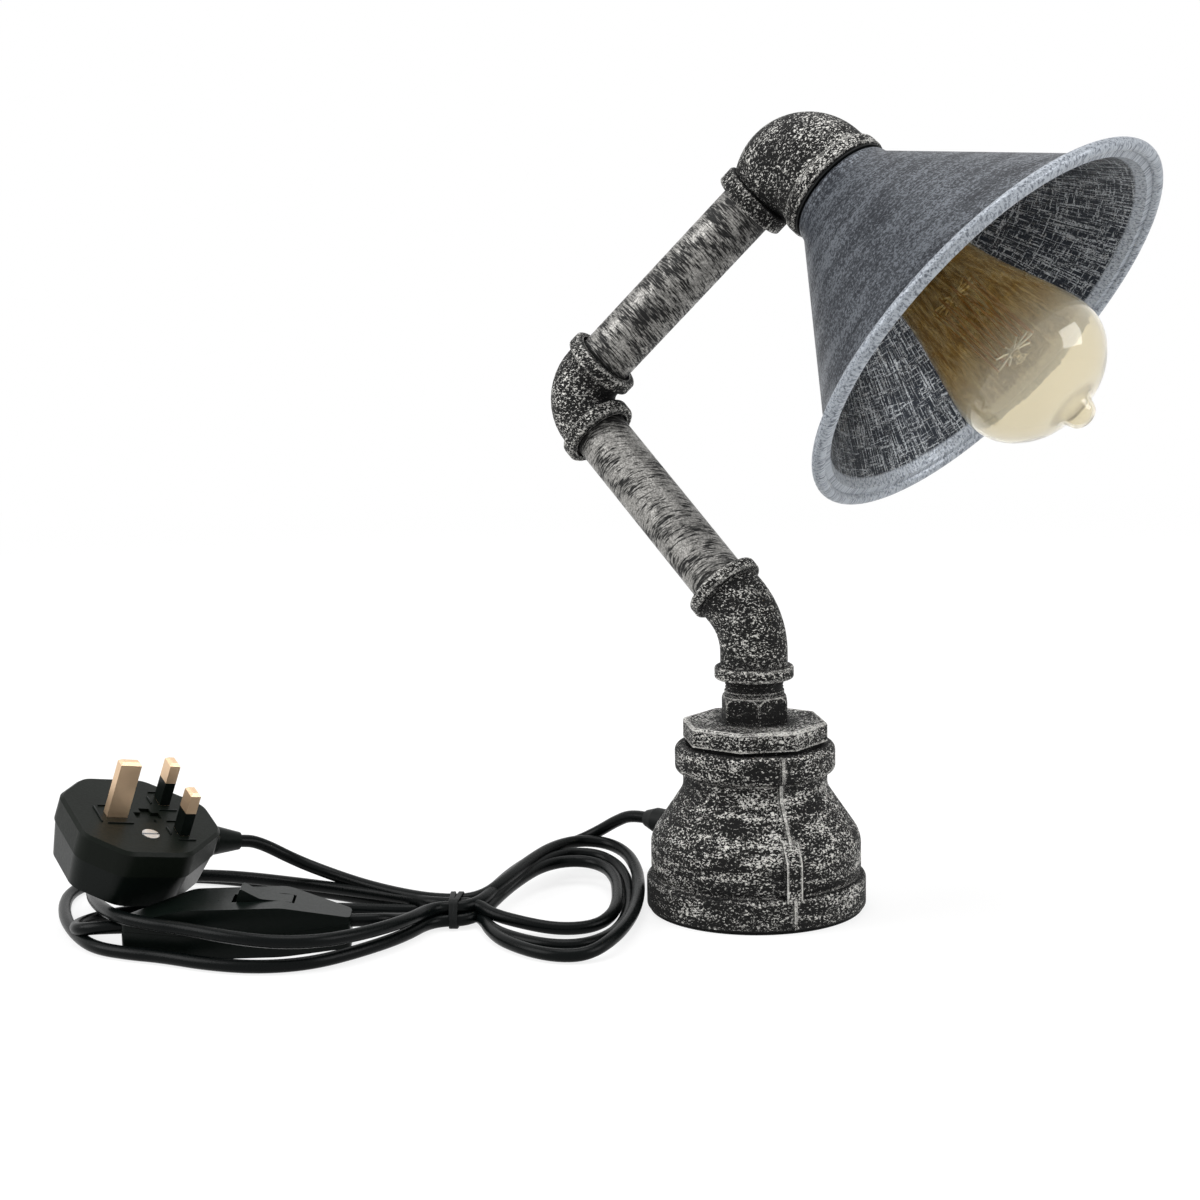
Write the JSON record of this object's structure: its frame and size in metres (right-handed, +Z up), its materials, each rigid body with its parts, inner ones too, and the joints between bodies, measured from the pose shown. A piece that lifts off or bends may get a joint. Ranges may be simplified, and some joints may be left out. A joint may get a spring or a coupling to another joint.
{
  "type": "table lamp",
  "caption": "Desk lamp built from iron pipe fittings: a reducer foot, a jointed pipe arm, a conical shade with a clear amber bulb, and a corded switch and plug.",
  "frame": {"origin": "centre of the soft pad under the foot, at the table top, on the axis of the foot and nipple", "axes": "+Z up along the foot; +X to the side that the shade is on; -Y to the front, where the shade opens; the arm lies in an upright plane turned 34.5 degrees from +X towards -Y"},
  "size_m": [0.4139, 0.1595, 0.2957],
  "materials": {
    "iron_casting": "cast, black, brushed with silver on the raised grain",
    "iron_pipe": "black with silver brush strokes",
    "shade_paint": "blue grey, dry brushed with silver",
    "black_plastic": "satin black",
    "gloss_black": "gloss black moulding",
    "cord": "smooth black flexible sheath",
    "pad": "soft black sheet",
    "brass": "bare brass",
    "steel": "zinc plated",
    "filament": "fine drawn wire",
    "ceramic": "white ceramic tube with end caps",
    "bulb_insulation": "black glass insulator",
    "amber_glass": "thin amber glass",
    "clear_glass": "clear glass"
  },
  "bodies": {
    "root": {"base_fitting": "iron_casting", "base_pad": "pad", "base_bush": "iron_casting", "base_nipple": "iron_casting", "lead_grip": "black_plastic", "grip_nut": "steel", "wire_base": "cord", "lead_cord": "cord", "lead_hank": "cord", "hank_tie": "black_plastic", "plug_cord": "cord", "switch_cord_left": "cord", "switch_cord_right": "cord", "wire_switch": "cord", "switch_lower": "gloss_black", "switch_upper": "gloss_black", "switch_pin": "steel", "plug_base": "gloss_black", "plug_cover": "gloss_black", "plug_boot": "cord", "earth_pin": "brass", "line_pin": "brass", "neutral_pin": "brass", "pin_sleeves": "black_plastic", "plug_screws": "steel", "plug_fuse": "ceramic", "fuse_clips": "brass"},
    "lower_arm": {"lower_elbow": "iron_casting", "lower_pipe": "iron_pipe", "wire_lower": "cord"},
    "upper_arm": {"middle_elbow": "iron_casting", "upper_pipe": "iron_pipe", "wire_upper": "cord"},
    "head": {"top_elbow": "iron_casting", "wire_head": "cord", "shade_washer": "pad", "shade": "shade_paint", "shade_ring": "black_plastic", "holder_cap": "black_plastic", "holder_body": "black_plastic", "holder_shell": "brass", "holder_contact": "brass"},
    "bulb": {"bulb_glass": "amber_glass", "bulb_cap": "brass", "bulb_insulator": "bulb_insulation", "bulb_tip": "steel", "bulb_stem": "clear_glass", "bulb_filament": "filament", "bulb_supports": "filament"},
    "rocker": {"switch_rocker": "gloss_black"}
  },
  "joints": [
    {"name": "arm_swivel", "type": "hinge", "parent": "root", "child": "lower_arm", "pos_m": [0, 0, 0.092], "axis": [0, 0, 1], "range_deg": [-120, 120]},
    {"name": "elbow_swivel", "type": "hinge", "parent": "lower_arm", "child": "upper_arm", "pos_m": [-0.07055, 0.04849, 0.19056], "axis": [-0.5928, 0.4074, 0.6947], "range_deg": [-60, 60]},
    {"name": "head_swivel", "type": "hinge", "parent": "upper_arm", "child": "head", "pos_m": [0.01841, 0.02415, 0.28076], "axis": [0.6896, -0.1886, 0.6992], "range_deg": [-90, 90]},
    {"name": "bulb_slide", "type": "slide", "parent": "head", "child": "bulb", "axis": [0.6462, -0.4213, -0.6363], "range_m": [0, 0.03]},
    {"name": "rocker_hinge", "type": "hinge", "parent": "root", "child": "rocker", "pos_m": [-0.17705, -0.05295, 0.0154], "axis": [-0.1045, 0.9945, 0], "range_deg": [-18, 0]}
  ]
}
